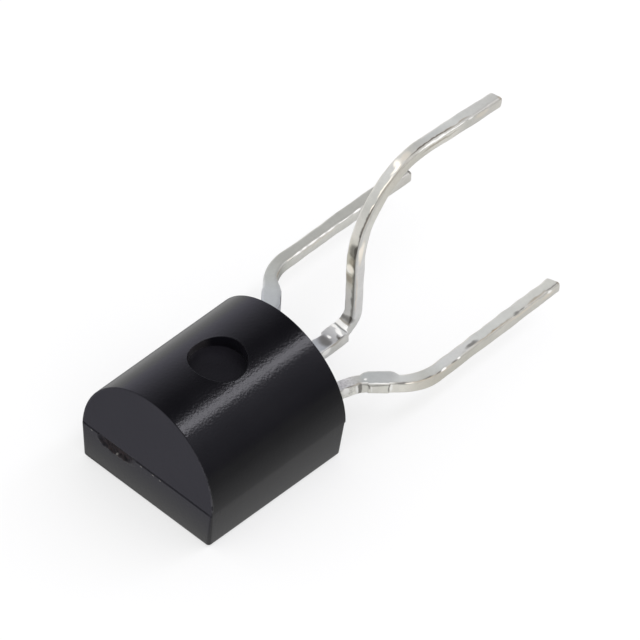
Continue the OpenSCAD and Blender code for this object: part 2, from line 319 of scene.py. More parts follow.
# How far the broken gate lies under the plain end: its depth inside a ragged outline, roughened by a few
# crossed waves
def gateScar(p, shape):
    u = (p[:, 0] - shape["gateAt"]) / shape["gateWidth"]
    v = (shape["partingHeight"] - p[:, 2]) / shape["gateHeight"]
    foot = np.interp(u, *np.array(shape["gateFoot"]).T)
    inside = ramp(foot - v, 0, 0.14) * ramp(0.5 - abs(u), 0, 0.02)
    rough = 1 + 0.35 * np.sin(31 * u + 4 * v) * np.cos(9 * v + 3) + 0.3 * np.sin(57 * u - 11 * v)
    return shape["gateDepth"] * inside * rough


body = bodySolid("epoxy_body", bodyShape)
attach(body, "root")
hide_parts("moulded_body")
print("body:", len(body.data.polygons), "faces")


stripLow, stripHigh = (np.array(v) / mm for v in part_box("flag_lead"))
stripMiddle = (stripLow[2] + stripHigh[2]) / 2
stripHalf = (stripHigh[2] - stripLow[2]) / 2

leadShape = {               # mm, shared by the three leads
    "halfWidth": 0.18,
    "edgeRound": 0.055,
    "tipRound": 0.035,
    "tipReach": 0.3,        # length at the cut end over which its slant and its wear come in
    "tipWear": 0.01,        # by which the edges there are rounder
    "noseReach": 0.08,      # length over which the cut end's bulge comes in
    "rowStep": 0.03,
    "shoulder": 0.3,        # half width of the shoulder that anchors a lead in the body
    "shoulderIn": 0.45,     # and its distance from the body's lead end
    "sway": 0.006,          # of the strip from side to side
    "edgeWander": (0.012, 0.008),       # of the edge round, in a long wave and a short one
    "rippleFrom": (2.5, 4.0),           # out from the body, where a left edge's ripple comes in
}

# route is sideways and out from the body, radii are those of its bends, and patch gives the x and y limits
# of the lead's end inside. inner and outer are how far the tie bar's stub stands proud of the edge towards
# the middle and of the other, by distance from the body. tipSlant is how much further the cut end reaches on
# the right and at the top, nose how far it bulges at half height, and ripple the left edge's unevenness.
flagLead = {
    "route": ((1.27, -0.08), (1.645, 1.2), (2.815, 2.46), (2.845, 7.66)),
    "radii": (0.3, 1.0, 1.4),
    "patch": ((-1.95, 0.55), (-1.75, 0.35)),        # the flag that carries the die
    "inner": ((1.35, 0), (1.5, 0.09), (1.62, 0.14), (2.12, 0.14), (2.3, 0.09), (2.42, 0.045), (2.62, 0)),
    "outer": ((1.45, 0), (1.6, 0.03), (2.1, 0.03), (2.25, 0)),
    "tipSlant": (-0.15, 0),
    "nose": 0.01,
    "ripple": 0.0015,
    "phase": 0.4,
}

terminalLead = {
    "route": ((1.27, -0.08), (1.645, 1.2), (2.815, 2.46), (2.69, 7.57)),
    "radii": (0.3, 1.0, 1.4),
    "patch": ((0.95, 2.0), (-0.35, 1.55)),          # the main terminal's bond post
    "inner": ((1.33, 0), (1.44, 0.095), (1.54, 0.13), (2.12, 0.135), (2.22, 0.11), (2.36, 0)),
    "outer": ((1.5, 0), (1.54, 0.03), (2.06, 0.03), (2.1, 0)),
    "tipSlant": (0.3, 0),
    "nose": 0.04,
    "ripple": 0.007,
    "phase": 3.1,
}

gateLead = {                # its route is out from the body and up, and inner is its left edge
    "route": ((2.72, 1.25), (2.665, 4.65), (4.07, 6.38), (7.82, 6.098)),
    "radii": (0.52, 2.75, 2.05),
    "patch": ((-0.45, 0.45), (0.75, 1.55)),         # the gate's bond post
    "inner": ((0.5, 0), (0.7, -0.03), (1.12, -0.04), (1.35, 0.015), (1.5, -0.015), (1.66, -0.025),
              (1.74, 0.04), (1.95, 0.06), (2.15, 0.055), (2.4, 0.03), (2.7, 0.02), (2.95, 0)),
    "outer": ((0.3, 0), (0.6, 0.12), (1.2, 0.15), (2.0, 0.15), (2.24, 0.13), (2.32, 0.0), (2.5, -0.02),
              (2.8, 0)),
    "tipSlant": (0.25, 0.05),
    "nose": 0.03,
    "ripple": 0.003,
    "phase": 1.9,
}


# Points along straight legs joined by arcs that touch both legs. An arc starts at its radius times the
# tangent of half the turn before the corner, and the sine-weighted blend of its two end radii sweeps it.
def roundedRoute(corners, radii, step):
    corners = np.array(corners, float)
    parts = [corners[:1]]
    for before, corner, after, r in zip(corners, corners[1:], corners[2:], radii):
        back, on = (v / np.linalg.norm(v) for v in (before - corner, after - corner))
        angle = math.pi - math.acos(back @ on)
        start, end = (corner + d * r * math.tan(angle / 2) for d in (back, on))
        middle = corner + (back + on) / np.linalg.norm(back + on) * r / math.cos(angle / 2)
        t = np.linspace(0, angle, 2 + int(r * angle / step))[:, None]
        swept = (start - middle) * np.sin(angle - t) + (end - middle) * np.sin(t)
        parts.append(middle + swept / math.sin(angle))
    line = np.vstack(parts + [corners[-1:]])
    return line, np.r_[0, np.cumsum(np.linalg.norm(np.diff(line, axis=0), axis=1))]


# A rounded rectangle as shares: for each of its points, how much of the right edge it takes (the left edge
# takes the rest), which half of the thickness, and the cosine and sine that carry the corner radius. It goes
# up the right side, over the top, down the left side and along the underside. Each is led in by a corner, and
# takes a quarter of the points.
def barSection(arcSteps=4, flatSteps=4):
    corners = ((1, 1), (0, 1), (0, -1), (1, -1))
    rows = []
    for quarter in (3, 0, 1, 2):
        (right, up), (nextRight, nextUp) = corners[quarter], corners[(quarter + 1) % 4]
        angle = np.linspace(0, math.pi / 2, arcSteps + 1) + quarter * math.pi / 2
        share = np.arange(1, flatSteps) / flatSteps
        angle = np.r_[angle, share * 0 + angle[-1]]
        share = np.r_[np.zeros(arcSteps + 1), share]
        rows.append(np.c_[right + (nextRight - right) * share, up + (nextUp - up) * share,
                          np.cos(angle), np.sin(angle)])
    return np.vstack(rows).T


# Edge of a lead against distance along it: the patch and the shoulder inside the body, then the plain edge
# with the stub of the tie bar standing proud of it
def leadEdge(patchReach, patchLength, start, stub, total, shoulder):
    w = leadShape["halfWidth"]
    shoulderEnd = max(start - leadShape["shoulderIn"], patchLength + 0.02)
    inside = [(0, patchReach), (patchLength, patchReach), (patchLength + 0.01, shoulder),
              (shoulderEnd, shoulder), (shoulderEnd + 0.01, w)]
    return np.array(inside + [(start + out, w + proud) for out, proud in stub] + [(total, w)]).T


# A bar carried along a route. Each ring is the rounded rectangle between the left and the right edge, set
# square to the route at its distance. At both ends a quarter round draws the rings in, and shrinking rings
# on a low dome close it.
def leadSolid(name, line, length, start, leftAt, rightAt, lead, flat):
    shape = leadShape
    total, tip, phase = length[-1], shape["tipRound"], lead["phase"]
    angle = np.linspace(0, math.pi / 2, 6)
    closing = np.array([0.25, 0.5, 0.75, 1])
    s = np.unique(np.round(np.r_[np.arange(0, total, shape["rowStep"]), leftAt[0], rightAt[0]], 5))
    s = s[(s > tip) & (s < total - tip)]
    outward = np.r_[tip * (np.sin(angle) - 1), 0.25 * tip * (1 - (1 - closing) ** 2)]
    inset = np.r_[tip * (1 - np.cos(angle)), tip + closing * 0]
    shrink = np.r_[angle * 0 + 1, 1 - closing * 0.995]
    along = np.r_[-outward[::-1] * 0.5, s, total + outward]
    inset = np.r_[inset[::-1], 0 * s, inset]
    shrink = np.r_[shrink[::-1], 0 * s + 1, shrink]
    held = np.clip(along, 0, total)
    at, ahead, behind = (np.stack([np.interp(held + d, length, v) for v in line.T], -1)
                         for d in (0, 0.01, -0.01))
    heading = (ahead - behind) / np.linalg.norm(ahead - behind, axis=1)[:, None]
    at = at + heading * (along - held)[:, None]
    square = np.c_[heading[:, 1], -heading[:, 0]]

    # where the edges run, and how round they are, with waves of so many radians for each mm
    wave = shape["sway"] * np.sin(4.7 * along + phase) * np.sin(1.3 * along + 1)
    ripple = lead["ripple"] * np.sin(10.6 * along + phase) * ramp(along - start, *shape["rippleFrom"])
    left, right = wave + ripple - np.interp(held, *leftAt), np.interp(held, *rightAt) + 0.6 * wave
    middle = (left + right) / 2
    left, right = middle + (left - middle + inset) * shrink, middle + (right - middle - inset) * shrink
    half = (stripHalf - inset) * shrink
    slant = ramp(along, total - shape["tipReach"], total)
    long, short = shape["edgeWander"]
    wander = long * np.sin(2.3 * along + phase) + short * np.sin(6.1 * along + 2 * phase)
    corner = shape["edgeRound"] + wander + shape["tipWear"] * slant
    corner = np.minimum(corner, np.minimum(half, (right - left) / 2) * 0.9)

    # the rings, pushed out at the cut end by its slant and its bulge
    rightShare, up, cosine, sine = barSection()
    sideways = (np.outer(left + corner, 1 - rightShare) + np.outer(right - corner, rightShare)
                + np.outer(corner, cosine))
    height = np.outer(half - corner, up) + np.outer(corner, sine)
    toRight, toTop = lead["tipSlant"]
    nose = lead["nose"] * ramp(along, total - shape["noseReach"], total)
    push = slant[:, None] * (toRight * sideways + toTop * height)
    push = push + nose[:, None] * (1 - (height / stripHalf) ** 2)
    inPlane = (at[:, None] + square[:, None] * (sideways if flat else -height)[..., None]
               + heading[:, None] * push[..., None])
    if flat:
        rings = np.stack([inPlane[..., 0], inPlane[..., 1], stripMiddle + height], -1)
    else:
        rings = np.stack([sideways, inPlane[..., 0], inPlane[..., 1]], -1)
    return solidFromRings(name, rings, along - start)


# An outer lead, drawn as the right-hand one and mirrored for the left
def outerLead(name, lead):
    (xLow, xHigh), (yLow, yHigh) = lead["patch"]
    mirrored = xHigh + xLow < 0
    if mirrored:
        xLow, xHigh = -xHigh, -xLow
    pitch = lead["route"][0][0]
    corners = [(pitch, yLow)] + [(x, halfLength + out) for x, out in lead["route"]]
    line, length = roundedRoute(corners, lead["radii"], leadShape["rowStep"])
    start = halfLength - yLow
    left, right = (leadEdge(reach, yHigh - yLow, start, lead[side], length[-1], leadShape["shoulder"])
                   for reach, side in ((pitch - xLow, "inner"), (xHigh - pitch, "outer")))
    piece = leadSolid(name, line, length, start, left, right, lead, True)
    if mirrored:
        co = np.empty(len(piece.data.vertices) * 3)
        piece.data.vertices.foreach_get("co", co)
        co[0::3] *= -1
        piece.data.vertices.foreach_set("co", co)
        layer = piece.data.uv_layers["alongLead"].uv
        uv = np.empty(len(layer) * 2)
        layer.foreach_get("vector", uv)
        uv[1::2] = 0.875 - uv[1::2]         # so that the right side keeps its place round the lead
        layer.foreach_set("vector", uv)
        piece.data.flip_normals()
    return piece


# The centre lead, whose route stands in the middle plane
def centreLead(name, lead):
    (xLow, xHigh), (yLow, yHigh) = lead["patch"]
    corners = [(yLow, stripMiddle)] + [(halfLength + out, z) for out, z in lead["route"]]
    line, length = roundedRoute(corners, lead["radii"], leadShape["rowStep"])
    start = halfLength - yLow
    left, right = (leadEdge(xHigh, yHigh - yLow, start, lead[side], length[-1], leadShape["halfWidth"])
                   for side in ("inner", "outer"))
    return leadSolid(name, line, length, start, left, right, lead, False)


leads = {
    "flag_lead": outerLead("tinned_flag_lead", flagLead),
    "gate_lead": centreLead("tinned_gate_lead", gateLead),
    "terminal_lead": outerLead("tinned_terminal_lead", terminalLead),
}
for node, lead in leads.items():
    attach(lead, "root")
    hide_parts(node)
    print("lead:", lead.name, len(lead.data.polygons), "faces")


# One shader value. Arithmetic on it adds Math nodes, and node() adds any other node.
class Wire:
    def __init__(self, tree, socket=None):
        self.tree = tree
        self.socket = socket

    def node(self, kind, settings=None, sockets=None, output=0):
        made = self.tree.nodes.new("ShaderNode" + kind)
        for name, value in (settings or {}).items():
            if name == "stops":
                elements = made.color_ramp.elements
                while len(elements) < len(value):
                    elements.new(1)
                for element, (place, colour) in zip(elements, value):
                    element.position, element.color = place, (*colour, 1)
            else:
                setattr(made, name, value)
        for name, value in (sockets or {}).items():
            if isinstance(value, Wire):
                self.tree.links.new(value.socket, made.inputs[name])
            else:
                made.inputs[name].default_value = value
        return Wire(self.tree, made.outputs[output] if made.outputs else None)

    def maths(self, operation, *values):
        return self.node("Math", {"operation": operation}, dict(enumerate(values)))

    def __add__(self, other):
        return self.maths("ADD", self, other)

    def __sub__(self, other):
        return self.maths("SUBTRACT", self, other)

    def __rsub__(self, other):
        return self.maths("SUBTRACT", other, self)

    def __mul__(self, other):
        return self.maths("MULTIPLY", self, other)

    __radd__, __rmul__ = __add__, __mul__

    # 0 up to low, 1 from high on, and smooth between them
    def step(self, low, high):
        return self.node("MapRange", {"interpolation_type": "SMOOTHSTEP"},
                         {"Value": self, "From Min": low, "From Max": high})

    # the same from one value to another
    def fade(self, low, high, first, last):
        return first + (last - first) * self.step(low, high)

    # 1 round a value, falling smoothly to 0 at a reach to either side
    def near(self, at, reach):
        return 1 - self.maths("ABSOLUTE", self - at).step(0.35 * reach, reach)

    # 1 in the middle of an oval given by its centre and half axes, falling smoothly to 0 round its outline,
    # which strays by what is given
    def spot(self, other, stray, at, otherAt, reach, otherReach):
        a = (self - at) * (1 / reach)
        b = (other - otherAt) * (1 / otherReach)
        return 1 - (a * a + b * b + stray).step(0.05, 1.1)

    def mix(self, first, second):
        first, second = ((*v, 1) if isinstance(v, tuple) else v for v in (first, second))
        return self.node("Mix", {"data_type": "RGBA"}, {0: self, 6: first, 7: second}, 2)

    def scaled(self, factor):
        return self.node("VectorMath", {"operation": "SCALE"}, {0: self, "Scale": factor})

    def parts(self, count=3):
        return [self.node("SeparateXYZ", {}, {"Vector": self}, k) for k in range(count)]

    def noise(self, scale, detail=2.0, rough=0.5):
        return self.node("TexNoise", {}, {"Vector": self, "Scale": scale, "Detail": detail,
                                          "Roughness": rough})


# Object coordinates, in mm
def millimetres(wire):
    return wire.node("TexCoord", output=3).scaled(1 / mm)


def newMaterial(name):
    material = bpy.data.materials.new(name)
    material.use_nodes = True
    material.node_tree.nodes.clear()
    return material, Wire(material.node_tree)


def finishMaterial(wire, sockets):
    shader = wire.node("BsdfPrincipled", {}, sockets)
    wire.node("OutputMaterial", {}, {"Surface": shader})


def dress(piece, material):
    piece.data.materials.clear()
    piece.data.materials.append(material)


epoxyFinish = {
    "colour": (0.0026, 0.0025, 0.0036),
    "pale": (0.0040, 0.0038, 0.0050),
    "footLight": (0.012, 0.0115, 0.0115),       # painted light from the floor: paler low on the walls
    "footLightTo": 0.55,                        # mm above the ground
    "pinFloor": (0.0019, 0.0016, 0.0033),
    "pinShadeFill": (0.0115, 0.0105, 0.0145),    # painted light on the mark's floor against its far wall, where the wall's shade falls
    "shadeFillAlong": (-0.67, 0.75),             # x and y of the way to that wall
    "pinWallLight": (0.021, 0.019, 0.0205),      # painted light on the wall that faces +X
    "pinWallLightAt": (-0.79, -0.66),            # mm, where that painted light begins to fade and where it ends
    "rim": (0.045, 0.045, 0.047),           # rim of the plain end, rubbed paler, and painted light over the dark reflection of its round
    "rimWidth": 0.07,
    "scar": (0.022, 0.012, 0.0115),
    "scarDeep": (0.004, 0.0025, 0.0022),
    # painted glints: pale flecks on the broken edge under the seam
    "glintFleck": (0.16, 0.15, 0.14),
    "glintFlecks": ((-2.03, 0.05, 0.03), (-0.2, 0.05, 0.03), (0.24, 0.05, 0.03), (0.5, 0.05, 0.03),
               (-1.09, 0.27, 0.04)),        # mm across, mm under the parting line, and half their height
    "glintFleckWidth": 0.05,                     # half of it
    "roughness": 0.18,
    "pinRoughness": 0.36,
    "scarRoughness": 0.7,
    "cloud": (0.9, 3),                      # noise scales per mm, with detail and roughness
    "grain": (14, 2),
    "waves": (15, 2, 0.55),
    "torn": (9, 4, 0.7),
    "waveHeight": 0.0000045,                # metres
}


# Resin in slow clouds. Each feature is a mask, the product of smooth steps of its place, that mixes its colour
# in and shifts the roughness.
def epoxyMaterial(finish, shape):
    material, wire = newMaterial("black_epoxy")
    place = millimetres(wire)
    x, y, z = place.parts()
    cloud, grain, waves, torn = (place.noise(*finish[k]) for k in ("cloud", "grain", "waves", "torn"))
    colour = cloud.step(0.35, 0.75).mix(finish["colour"], finish["pale"])
    # painted light: the walls paler near the ground, standing in for the floor's bounce light
    colour = (1 - z.step(0, finish["footLightTo"])).mix(colour, finish["footLight"])
    rough = finish["roughness"] + 0.04 * (cloud - 0.5) + 0.04 * (grain - 0.5)

    # the matte floor of the pin mark, with painted light on its far side where its wall shades it,
    # and painted light on the wall that faces +X
    pin = shape["pinRadius"]
    reach = wire.maths("SQRT", x * x + y * y)
    inPin = (1 - reach.step(pin + 0.001, pin + 0.01)) * z.step(2, 2.1)
    # painted light: a paler floor towards the far wall, against the shade that wall casts
    fillX, fillY = finish["shadeFillAlong"]
    shadeFill = (fillX * x + fillY * y).step(0, 0.8) * (1 - reach.step(pin - 0.03, pin - 0.01))
    colour = inPin.mix(colour, shadeFill.mix(finish["pinFloor"], finish["pinShadeFill"]))
    rough = rough + inPin * (finish["pinRoughness"] - finish["roughness"])
    # painted light: the mark's wall that faces +X is lighter than the rest of it
    litWall = inPin * reach.step(pin - 0.01, pin) * (1 - x.step(*finish["pinWallLightAt"]))
    colour = litWall.mix(colour, finish["pinWallLight"])

    # the rim round the plain end, rubbed paler in places; the paler colour is also painted light
    # over the dark reflection of the rim's round
    plainEnd = -halfLength
    up = z - domeHeight
    atRim = wire.maths("SQRT", x * x + up * up).step(domeRadius - finish["rimWidth"], domeRadius)
    atRim = atRim * (1 - y.step(plainEnd + 0.025, plainEnd + 0.085)) * up.step(0, 0.2)
    colour = (atRim * waves.step(0.35, 0.6)).mix(colour, finish["rim"])

    # the broken gate: torn resin, and a few pale flecks by the seam, which are painted glints where
    # its broken edge catches the light
    onPlain = 1 - y.step(plainEnd + 0.125, plainEnd + 0.175)
    down = shape["partingHeight"] - z
    u = (x - shape["gateAt"]) * (1 / shape["gateWidth"])
    v = down * (1 / shape["gateHeight"])
    foot = 0.98 - u * u + 0.7 * (torn - 0.5)
    scar = onPlain * v.step(0.02, 0.08) * (foot - v).step(0, 0.12) * u.near(0, 0.62)
    colour = scar.mix(colour, torn.step(0.42, 0.62).mix(finish["scarDeep"], finish["scar"]))
    rough = rough + scar * (finish["scarRoughness"] - finish["roughness"])
    glintFlecks = onPlain * sum(x.near(at, finish["glintFleckWidth"]) * down.near(under, reach)
                           for at, under, reach in finish["glintFlecks"])
    colour = (glintFlecks * 0.7).mix(colour, finish["glintFleck"])

    height = waves + 0.3 * grain + scar * torn * 4
    bump = wire.node("Bump", {}, {"Height": height, "Strength": 1.0, "Distance": finish["waveHeight"]})
    finishMaterial(wire, {"Base Color": colour, "Roughness": rough, "IOR": 1.5, "Normal": bump})
    return material


# Each mark is (distance from the body, place round the lead, half length, half width). Round a lead, the
# right side runs up from 0.125 to 0.25, the top goes right to left from 0.375 to 0.5, and the left side runs
# down from 0.625 to 0.75, with a rounded corner between them. The colour ramps go by distance from the body,
# one for the top and one for the sides; their bright and dark stretches are painted light, shade and
# reflections of the room laid on the tin's own colour.
tinColourAndLight = {
    "flag_lead": {
        "speckledTo": 0,        # mm of rough, speckled plating from the body on
        "top": ((0, (0.55, 0.58, 0.60)), (1.8, (0.55, 0.57, 0.58)), (2.1, (0.55, 0.57, 0.57)),
                (2.7, (0.52, 0.53, 0.50)), (3.3, (0.465, 0.465, 0.43)), (8.2, (0.50, 0.495, 0.455))),
        "side": ((0, (0.56, 0.58, 0.62)), (1.8, (0.55, 0.57, 0.60)), (2.35, (0.72, 0.73, 0.72)),
                 (2.7, (0.56, 0.57, 0.53)), (3.0, (0.60, 0.60, 0.56)), (3.3, (0.80, 0.80, 0.74)),
                 (3.6, (0.97, 0.96, 0.90)), (5.4, (0.95, 0.94, 0.88)), (8.2, (0.84, 0.82, 0.76))),
        "warm": ((4.6, 0.25, 0.9, 0.03),),
        "brownShade": ((2.75, 0.29, 0.32, 0.05),),
        "darkShade": ((1.75, 0.29, 0.28, 0.034), (8.06, 0.34, 0.04, 0.1)),
        "pale": ((3.75, 0.31, 0.22, 0.050), (4.05, 0.32, 0.12, 0.035), (4.35, 0.315, 0.22, 0.038),
                 (4.75, 0.32, 0.16, 0.038), (5.05, 0.315, 0.2, 0.038), (5.55, 0.31, 0.25, 0.036),
                 (6.05, 0.31, 0.2, 0.06)),
        "creamHighlight": ((3.5, 0.305, 0.18, 0.036),),
    },
    "gate_lead": {
        "speckledTo": 0,
        "top": ((0, (0.60, 0.62, 0.64)), (1.2, (0.56, 0.58, 0.61)), (1.5, (0.47, 0.48, 0.50)),
                (1.75, (0.54, 0.54, 0.54)), (2.05, (0.72, 0.72, 0.71)), (2.3, (0.74, 0.75, 0.74)),
                (2.5, (0.84, 0.83, 0.79)), (3.2, (0.94, 0.93, 0.90)), (3.8, (0.96, 0.94, 0.88)),
                (4.15, (0.74, 0.71, 0.62)), (5.0, (0.70, 0.67, 0.56)), (5.8, (0.75, 0.73, 0.66)),
                (6.6, (0.58, 0.58, 0.53)), (7.4, (0.66, 0.66, 0.62)), (7.8, (0.72, 0.72, 0.69)),
                (8.25, (0.63, 0.62, 0.57)), (8.6, (0.51, 0.51, 0.48)), (9.2, (0.55, 0.56, 0.54)),
                (9.9, (0.64, 0.65, 0.62)), (10.8, (0.60, 0.60, 0.57)), (11.7, (0.56, 0.56, 0.53))),
        "side": ((0, (0.76, 0.76, 0.74)), (1.4, (0.77, 0.77, 0.75)), (1.75, (0.70, 0.69, 0.66)),
                 (2.05, (0.80, 0.79, 0.76)), (2.5, (0.70, 0.70, 0.68)), (2.85, (0.80, 0.80, 0.79)),
                 (4.9, (0.84, 0.83, 0.81)), (6.2, (0.83, 0.82, 0.77)), (7.5, (0.76, 0.73, 0.65)),
                 (8.7, (0.75, 0.73, 0.66)), (9.3, (0.88, 0.86, 0.79)), (9.9, (0.86, 0.84, 0.77)),
                 (10.4, (0.70, 0.69, 0.64)), (11.1, (0.77, 0.75, 0.70)), (11.7, (0.77, 0.75, 0.69))),
        "warm": ((8.2, 0.43, 0.22, 0.06), (7.9, 0.40, 0.2, 0.04), (5.3, 0.20, 0.6, 0.05),
                 (4.72, 0.42, 0.12, 0.06), (10.9, 0.22, 0.3, 0.06), (3.9, 0.25, 0.9, 0.03)),
        "brownShade": ((2.53, 0.40, 0.08, 0.2), (4.28, 0.44, 0.16, 0.07), (7.5, 0.335, 0.75, 0.04),
                  (9.4, 0.384, 1.4, 0.018), (9.3, 0.205, 0.8, 0.026), (6.3, 0.35, 0.6, 0.04),
                  (5.0, 0.40, 0.25, 0.08), (1.7, 0.28, 0.3, 0.05), (11.58, 0.33, 0.05, 0.1)),
        "darkShade": ((2.69, 0.41, 0.18, 0.22), (4.2, 0.359, 2.1, 0.054), (5.32, 0.42, 0.30, 0.085),
                 (6.3, 0.360, 0.9, 0.034), (9.0, 0.384, 0.9, 0.012), (1.95, 0.34, 0.25, 0.045),
                 (1.55, 0.43, 0.20, 0.09), (1.90, 0.372, 0.06, 0.03), (2.22, 0.44, 0.05, 0.10)),
        "pale": ((2.37, 0.43, 0.16, 0.23), (2.34, 0.345, 0.12, 0.10), (1.75, 0.44, 0.06, 0.028),
                 (2.11, 0.47, 0.05, 0.08), (2.03, 0.40, 0.07, 0.05), (4.62, 0.465, 0.14, 0.05),
                 (2.39, 0.42, 0.11, 0.18), (9.15, 0.287, 0.85, 0.038), (10.0, 0.285, 0.3, 0.034),
                 (10.5, 0.285, 0.15, 0.05), (1.36, 0.23, 0.18, 0.07), (5.45, 0.195, 0.25, 0.03)),
        "creamHighlight": ((7.97, 0.452, 0.16, 0.056), (7.83, 0.408, 0.25, 0.022), (7.3, 0.385, 0.45, 0.015),
                  (6.7, 0.38, 0.2, 0.012), (5.3, 0.205, 0.45, 0.055), (4.68, 0.44, 0.19, 0.07)),
    },
    "terminal_lead": {
        "speckledTo": 1.35,
        "top": ((0, (0.68, 0.68, 0.70)), (0.9, (0.67, 0.66, 0.67)), (1.25, (0.60, 0.60, 0.57)),
                (1.42, (0.55, 0.57, 0.56)), (2.15, (0.54, 0.55, 0.54)), (2.4, (0.67, 0.68, 0.66)),
                (3.0, (0.55, 0.55, 0.51)), (3.6, (0.66, 0.67, 0.65)), (4.3, (0.67, 0.67, 0.65)),
                (5.2, (0.64, 0.65, 0.62)), (6.8, (0.66, 0.66, 0.62)), (8.1, (0.64, 0.64, 0.59))),
        "side": ((0, (0.86, 0.85, 0.81)), (1.5, (0.90, 0.89, 0.82)), (2.4, (0.97, 0.95, 0.87)),
                 (2.8, (0.79, 0.76, 0.68)), (3.3, (0.69, 0.66, 0.58)), (4.5, (0.71, 0.69, 0.62)),
                 (6.0, (0.76, 0.74, 0.68)), (8.1, (0.78, 0.76, 0.70))),
        "warm": ((2.95, 0.3, 0.4, 0.06), (3.7, 0.27, 0.5, 0.05), (6.6, 0.24, 0.7, 0.04),
                 (7.6, 0.2, 0.3, 0.05)),
        "brownShade": ((3.0, 0.33, 0.5, 0.04), (1.05, 0.33, 0.3, 0.05), (5.2, 0.345, 0.55, 0.036),
                  (5.85, 0.345, 0.5, 0.04), (7.15, 0.35, 0.45, 0.042), (7.99, 0.33, 0.05, 0.08)),
        "darkShade": ((1.25, 0.19, 0.08, 0.16), (1.56, 0.235, 0.038, 0.06), (2.08, 0.2, 0.030, 0.10),
                 (1.75, 0.275, 0.5, 0.030), (2.45, 0.315, 0.28, 0.05), (3.05, 0.36, 0.17, 0.034),
                 (3.42, 0.33, 0.16, 0.04), (4.0, 0.32, 0.18, 0.05), (4.76, 0.400, 0.30, 0.046),
                 (6.42, 0.350, 0.16, 0.06), (6.65, 0.35, 0.12, 0.035), (7.8, 0.335, 0.30, 0.030),
                 (0.95, 0.345, 0.2, 0.04)),
        "pale": ((0.80, 0.24, 0.13, 0.09), (1.16, 0.2, 0.05, 0.11), (1.63, 0.2, 0.028, 0.09),
                 (2.14, 0.2, 0.04, 0.10), (1.75, 0.355, 0.5, 0.026), (1.47, 0.42, 0.06, 0.024),
                 (3.56, 0.315, 0.13, 0.055), (4.17, 0.325, 0.08, 0.055), (7.68, 0.25, 0.12, 0.045)),
        "creamHighlight": ((2.6, 0.30, 0.15, 0.03),),
    },
}

tinPlating = {
    # warm marks: painted golden edges of highlights, and warm tints
    "warm": ((0.88, 0.78, 0.64), 0.4),      # a mark's colour, and how far it covers
    # brown and dark marks: painted shade along edges and in bends, and dark reflections of the body
    "brownShade": ((0.34, 0.28, 0.20), 0.6),
    "darkShade": ((0.11, 0.102, 0.090), 0.75),
    # pale and cream marks: painted highlights and glints, where the tin's metallic is taken away
    "pale": ((1.0, 0.99, 0.96), 0.9),
    "creamHighlight": ((1.0, 0.94, 0.83), 0.9),
    "metallic": 0.30,
    "roughness": 0.42,
    "wander": (0.12, 0.05, 0.006),          # how far marks stray along a lead, round it, and in fine breaks
    "longest": 12.0,                        # mm along a lead at the end of its colour ramps
    "topAt": (0.4375, 0.13),                # place of the top round the lead, and half its width
    "edgeAt": (0.315, 0.09),                # and of its right-hand edge, darkened there as painted shade
    "cloud": (1.6, 3),                      # noise scales per mm, with detail and roughness
    "patch": (5, 3, 0.6),
    "grain": (16, 3, 0.6),
    "drift": (4, 1),
    "grainHeight": 0.000003,                # metres
}


# Tin whose colour goes along the lead by two ramps, one for the top and one for the sides, shaded by noise;
# the ramps carry painted light and shade. The spots of each kind of mark are added up into a mask that mixes
# its colour in: painted highlights, painted shade and dark reflections.
def tinMaterial(name, finish, plating):
    material, wire = newMaterial(name)
    place = millimetres(wire)
    cloud, patch, grain, drift = (place.noise(*plating[k]) - 0.5
                                  for k in ("cloud", "patch", "grain", "drift"))
    alongBy, roundBy, fineBy = plating["wander"]
    s, v = wire.node("UVMap", {"uv_map": "alongLead"}).parts(2)
    s = s + alongBy * drift
    v = v + roundBy * drift + fineBy * grain

    share = s * (1 / plating["longest"])
    top, side = (wire.node("ValToRGB", {"stops": [(at / plating["longest"], c) for at, c in finish[face]]},
                           {"Fac": share}) for face in ("top", "side"))
    # painted light and shade: the top and the sides each take a lit or shaded colour of their own
    colour = v.near(*plating["topAt"]).mix(side, top)
    shade = 0.94 + 0.16 * cloud + 0.16 * patch + 0.12 * grain
    # painted shade: a darker line along the top's right-hand edge
    shade = shade - 0.40 * v.near(*plating["edgeAt"]) * (patch + 0.5)
    speckled = 1 - s.step(finish["speckledTo"] - 0.4, finish["speckledTo"])
    colour = colour.scaled(shade * (1 + speckled * (0.9 * grain + 0.7 * patch)))

    stray = 0.15 * grain + 0.35 * patch + 0.9 * drift
    masks = {}
    # the marks laid over the tin: painted highlights, painted shade and dark reflections
    for kind in ("warm", "brownShade", "darkShade", "pale", "creamHighlight"):
        tone, cover = plating[kind]
        masks[kind] = cover * sum(s.spot(v, stray, *mark) for mark in finish[kind])
        colour = masks[kind].mix(colour, tone)
    metallic = plating["metallic"] * (1 - (masks["pale"] + masks["creamHighlight"]).step(0, 1))
    rough = plating["roughness"] + 0.2 * cloud + 0.1 * grain
    bump = wire.node("Bump", {}, {"Height": grain + 2 * patch, "Strength": 0.5,
                                  "Distance": plating["grainHeight"]})
    finishMaterial(wire, {"Base Color": colour, "Roughness": rough, "Metallic": metallic, "Normal": bump})
    return material


innerFinish = {     # of the pieces sealed in the body: colour, colour of its clouds, roughness, metallic
    "triac_die": ((0.09, 0.10, 0.16), (0.13, 0.14, 0.20), 0.15, 0.3),
    "die_solder": ((0.35, 0.35, 0.36), (0.46, 0.46, 0.46), 0.5, 1.0),
    "terminal_bond_wire": ((0.78, 0.79, 0.80), (0.86, 0.86, 0.87), 0.3, 1.0),
    "gate_bond_wire": ((0.78, 0.79, 0.80), (0.86, 0.86, 0.87), 0.3, 1.0),
}


